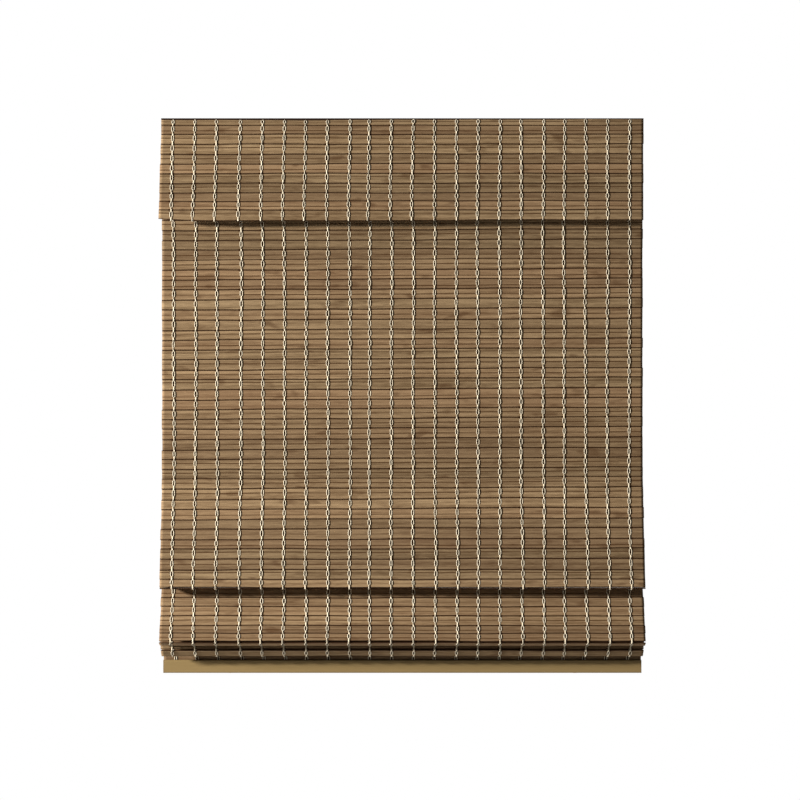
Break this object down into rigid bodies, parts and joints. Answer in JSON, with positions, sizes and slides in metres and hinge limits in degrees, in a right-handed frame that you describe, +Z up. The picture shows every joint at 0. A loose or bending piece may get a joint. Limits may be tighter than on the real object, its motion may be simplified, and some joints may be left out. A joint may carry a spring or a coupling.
{
  "type": "bamboo roman shade",
  "caption": "Woven split-bamboo roman shade with a short valance, a shallow headrail with a spring lift, gathered folds and a slim wooden bottom rail.",
  "frame": {"origin": "middle of the plane that the two brackets are screwed against, at the top of the headrail", "axes": "+Z up, +X across the shade to the viewer's right, -Y towards the room"},
  "size_m": [0.61, 0.0781, 0.7052],
  "materials": {
    "bamboo": "split bamboo slats, satin, natural brown",
    "thread": "cream cotton warp thread",
    "rail_wood": "satin lacquered wood",
    "batten_wood": "dark stained wood",
    "channel_metal": "off-white powder coat",
    "bracket_steel": "zinc plated",
    "steel": "plain steel",
    "plastic": "moulded plastic",
    "rail_cap_plastic": "moulded plastic in the rail's colour",
    "ring_plastic": "small moulded ring"
  },
  "bodies": {
    "headrail": {"headrail_channel": "channel_metal", "headrail_cap_left": "plastic", "headrail_cap_right": "plastic", "mounting_bracket_left": "bracket_steel", "mounting_bracket_right": "bracket_steel", "mat_batten": "batten_wood", "batten_screws": "steel", "cord_grommets": "plastic", "cord_cradle_left": "plastic", "cord_cradle_right": "plastic", "motor_case": "plastic", "motor_lid": "plastic", "storage_pin": "steel", "spring_strip": "steel", "valance_mat": "bamboo", "valance_threads": "thread", "mat_upper": "bamboo", "threads_upper": "thread"},
    "lift_shaft": {"lift_shaft": "steel", "cord_spool_left": "plastic", "cord_spool_right": "plastic", "drive_drum": "plastic"},
    "storage_drum": {"storage_drum": "plastic", "spring_coil": "steel"},
    "fourth_fold_front": {"mat_fourth_fold_front": "bamboo", "threads_fourth_fold_front": "thread", "rings_fourth_fold_front": "ring_plastic"},
    "fourth_fold_back": {"mat_fourth_fold_back": "bamboo", "threads_fourth_fold_back": "thread"},
    "first_fold_top": {"mat_first_fold_top": "bamboo", "threads_first_fold_top": "thread", "rings_first_fold_top": "ring_plastic"},
    "first_fold_front": {"mat_first_fold_front": "bamboo", "threads_first_fold_front": "thread"},
    "first_fold_back": {"mat_first_fold_back": "bamboo", "threads_first_fold_back": "thread"},
    "second_fold_front": {"mat_second_fold_front": "bamboo", "threads_second_fold_front": "thread", "rings_second_fold_front": "ring_plastic"},
    "second_fold_turn": {"mat_second_fold_turn": "bamboo", "threads_second_fold_turn": "thread"},
    "second_fold_back": {"mat_second_fold_back": "bamboo", "threads_second_fold_back": "thread"},
    "third_fold_front": {"mat_third_fold_front": "bamboo", "threads_third_fold_front": "thread", "rings_third_fold_front": "ring_plastic"},
    "third_fold_turn": {"mat_third_fold_turn": "bamboo", "threads_third_fold_turn": "thread"},
    "third_fold_back": {"mat_third_fold_back": "bamboo", "threads_third_fold_back": "thread"},
    "skirt": {"mat_skirt": "bamboo", "threads_skirt": "thread", "bottom_rail": "rail_wood", "rail_cap_left": "rail_cap_plastic", "rail_cap_right": "rail_cap_plastic", "rail_anchors": "rail_cap_plastic"}
  },
  "joints": [
    {"name": "fourth_fold_front_hinge", "type": "hinge", "parent": "headrail", "child": "fourth_fold_front", "pos_m": [0, -0.0244, -0.1786], "axis": [1, 0, 0], "range_deg": [-12.01, 0]},
    {"name": "raise_shade", "type": "hinge", "parent": "fourth_fold_front", "child": "fourth_fold_back", "pos_m": [0, -0.0216, -0.292], "axis": [1, 0, 0], "range_deg": [0, 175]},
    {"name": "first_fold_top_hinge", "type": "hinge", "parent": "fourth_fold_back", "child": "first_fold_top", "pos_m": [0, -0.0244, -0.4054], "axis": [1, 0, 0], "range_deg": [-163.01, 0]},
    {"name": "first_fold_front_hinge", "type": "hinge", "parent": "first_fold_top", "child": "first_fold_front", "pos_m": [0, -0.0244, -0.4558], "axis": [1, 0, 0], "range_deg": [0, 12.01]},
    {"name": "lower_shade", "type": "hinge", "parent": "first_fold_front", "child": "first_fold_back", "pos_m": [0, -0.05048, -0.59195], "axis": [1, 0, 0], "range_deg": [-114, 0]},
    {"name": "second_fold_front_hinge", "type": "hinge", "parent": "first_fold_back", "child": "second_fold_front", "pos_m": [0, -0.02525, -0.58945], "axis": [1, 0, 0], "range_deg": [0, 127.01]},
    {"name": "second_fold_turn_hinge", "type": "hinge", "parent": "second_fold_front", "child": "second_fold_turn", "pos_m": [0, -0.05466, -0.65915], "axis": [1, 0, 0], "range_deg": [-92.01, 0]},
    {"name": "second_fold_back_hinge", "type": "hinge", "parent": "second_fold_turn", "child": "second_fold_back", "pos_m": [0, -0.04306, -0.66408], "axis": [1, 0, 0], "range_deg": [-91.01, 0]},
    {"name": "third_fold_front_hinge", "type": "hinge", "parent": "second_fold_back", "child": "third_fold_front", "pos_m": [0, -0.01214, -0.59503], "axis": [1, 0, 0], "range_deg": [0, 176.51]},
    {"name": "third_fold_turn_hinge", "type": "hinge", "parent": "third_fold_front", "child": "third_fold_turn", "pos_m": [0, -0.03468, -0.6712], "axis": [1, 0, 0], "range_deg": [-66.51, 0]},
    {"name": "third_fold_back_hinge", "type": "hinge", "parent": "third_fold_turn", "child": "third_fold_back", "pos_m": [0, -0.02531, -0.67963], "axis": [1, 0, 0], "range_deg": [-118.01, 0]},
    {"name": "skirt_hinge", "type": "hinge", "parent": "third_fold_back", "child": "skirt", "pos_m": [0, -0.00431, -0.60695], "axis": [1, 0, 0], "range_deg": [0, 166.01]},
    {"name": "shaft_spin", "type": "hinge", "parent": "headrail", "child": "lift_shaft", "pos_m": [0, -0.008, -0.0171], "axis": [1, 0, 0], "continuous": true},
    {"name": "storage_spin", "type": "hinge", "parent": "headrail", "child": "storage_drum", "pos_m": [0, 0.0096, -0.0171], "axis": [1, 0, 0], "continuous": true}
  ],
  "couplings": [
    {"joint": "fourth_fold_front_hinge", "follows": "raise_shade", "ratio": -0.068571},
    {"joint": "first_fold_top_hinge", "follows": "raise_shade", "ratio": -0.93143},
    {"joint": "first_fold_front_hinge", "follows": "lower_shade", "ratio": -0.10526},
    {"joint": "second_fold_front_hinge", "follows": "lower_shade", "ratio": -1.114},
    {"joint": "second_fold_turn_hinge", "follows": "lower_shade", "ratio": 0.80702},
    {"joint": "second_fold_back_hinge", "follows": "lower_shade", "ratio": 0.79825},
    {"joint": "third_fold_front_hinge", "follows": "lower_shade", "ratio": -1.5482},
    {"joint": "third_fold_turn_hinge", "follows": "lower_shade", "ratio": 0.58333},
    {"joint": "third_fold_back_hinge", "follows": "lower_shade", "ratio": 1.0351},
    {"joint": "skirt_hinge", "follows": "lower_shade", "ratio": -1.4561},
    {"joint": "storage_spin", "follows": "shaft_spin", "ratio": 0.97297}
  ]
}
